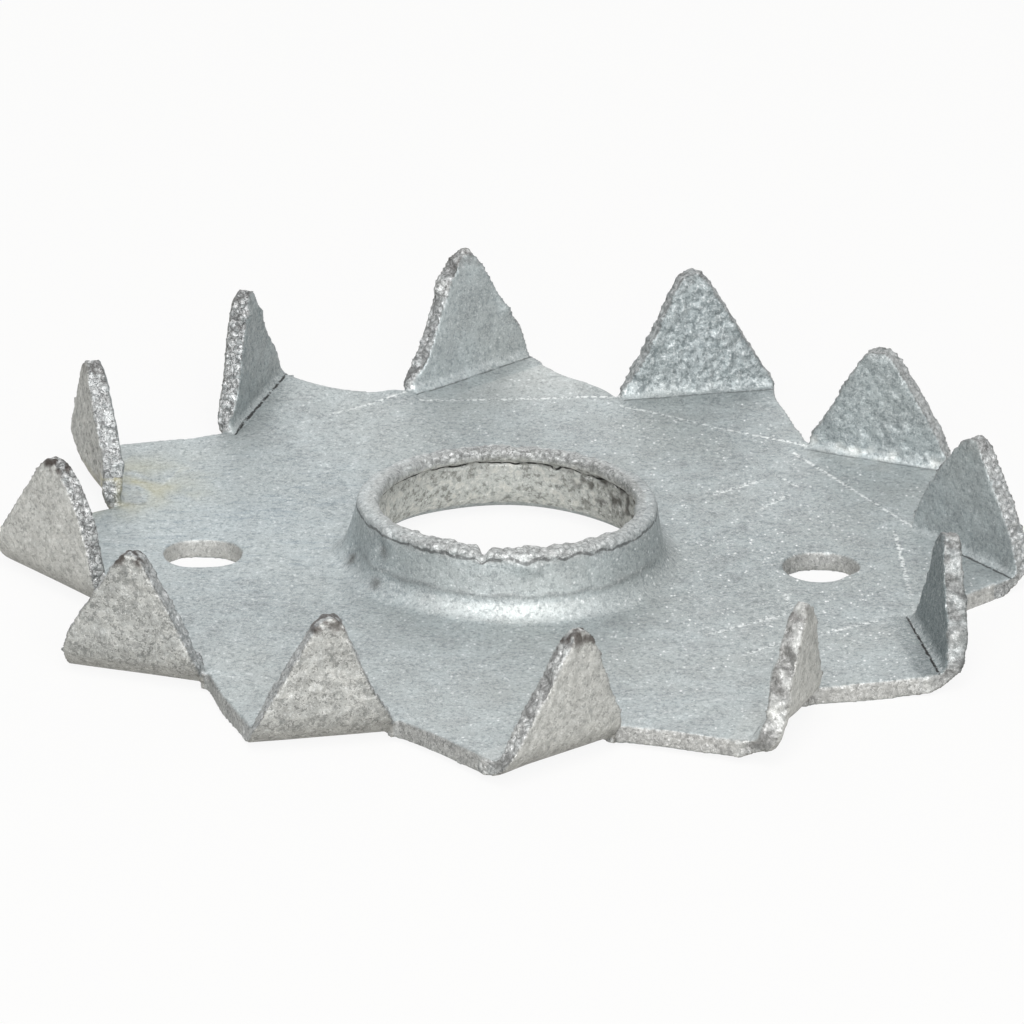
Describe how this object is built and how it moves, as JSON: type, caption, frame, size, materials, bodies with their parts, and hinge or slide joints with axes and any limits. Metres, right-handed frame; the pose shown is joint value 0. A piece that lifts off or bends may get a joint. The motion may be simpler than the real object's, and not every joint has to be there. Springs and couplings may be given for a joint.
{
  "type": "toothed plate connector",
  "caption": "Round toothed plate connector for timber, with a flanged bolt hole, two nail holes and teeth folded up round one side.",
  "frame": {"origin": "on the bolt axis, at the underside of the plate, on the face that rests on a table", "axes": "+Z along the bolt axis, the way the teeth point; +X through one of the two nail holes; metres"},
  "size_m": [0.062, 0.062, 0.0087],
  "materials": {
    "galvanised_steel": "hot-dip galvanised, matte to satin, blue-grey"
  },
  "bodies": {
    "root": {"toothed_plate": "galvanised_steel"}
  },
  "joints": []
}
